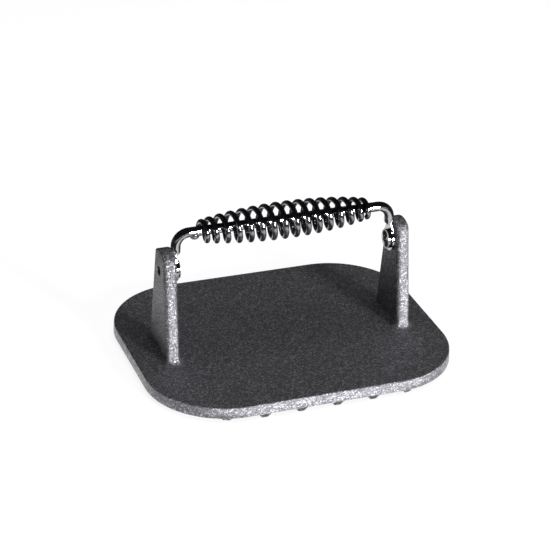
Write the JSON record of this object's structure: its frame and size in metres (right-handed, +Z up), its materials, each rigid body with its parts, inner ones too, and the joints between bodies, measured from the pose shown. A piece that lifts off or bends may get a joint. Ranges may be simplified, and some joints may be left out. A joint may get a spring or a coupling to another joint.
{
  "type": "grill press",
  "caption": "Cast iron grill press: ribbed plate with rounded corners, two posts, and a swinging rod handle inside a turning wire coil grip.",
  "frame": {"origin": "middle of the footprint, in the plane of the rib crests that the press rests on", "axes": "+X along the handle, +Y from front to back, +Z up"},
  "size_m": [0.2032, 0.165, 0.1032],
  "materials": {
    "cast_iron": "sand-cast and seasoned, matt dark grey with a fine grain",
    "bright_plating": "bright nickel-chrome plating",
    "black_wire": "gloss black",
    "screw_plating": "bright zinc plating"
  },
  "bodies": {
    "press": {"press_casting": "cast_iron", "screw_left": "screw_plating", "screw_right": "screw_plating"},
    "handle": {"handle_rod": "bright_plating"},
    "grip": {"spring_grip": "black_wire"}
  },
  "joints": [
    {"name": "handle_pivot", "type": "hinge", "parent": "press", "child": "handle", "pos_m": [0, 0, 0.0672], "axis": [1, 0, 0], "range_deg": [-95, 95]},
    {"name": "grip_spin", "type": "hinge", "parent": "handle", "child": "grip", "pos_m": [0, 0, 0.09106], "axis": [1, 0, 0], "continuous": true}
  ]
}
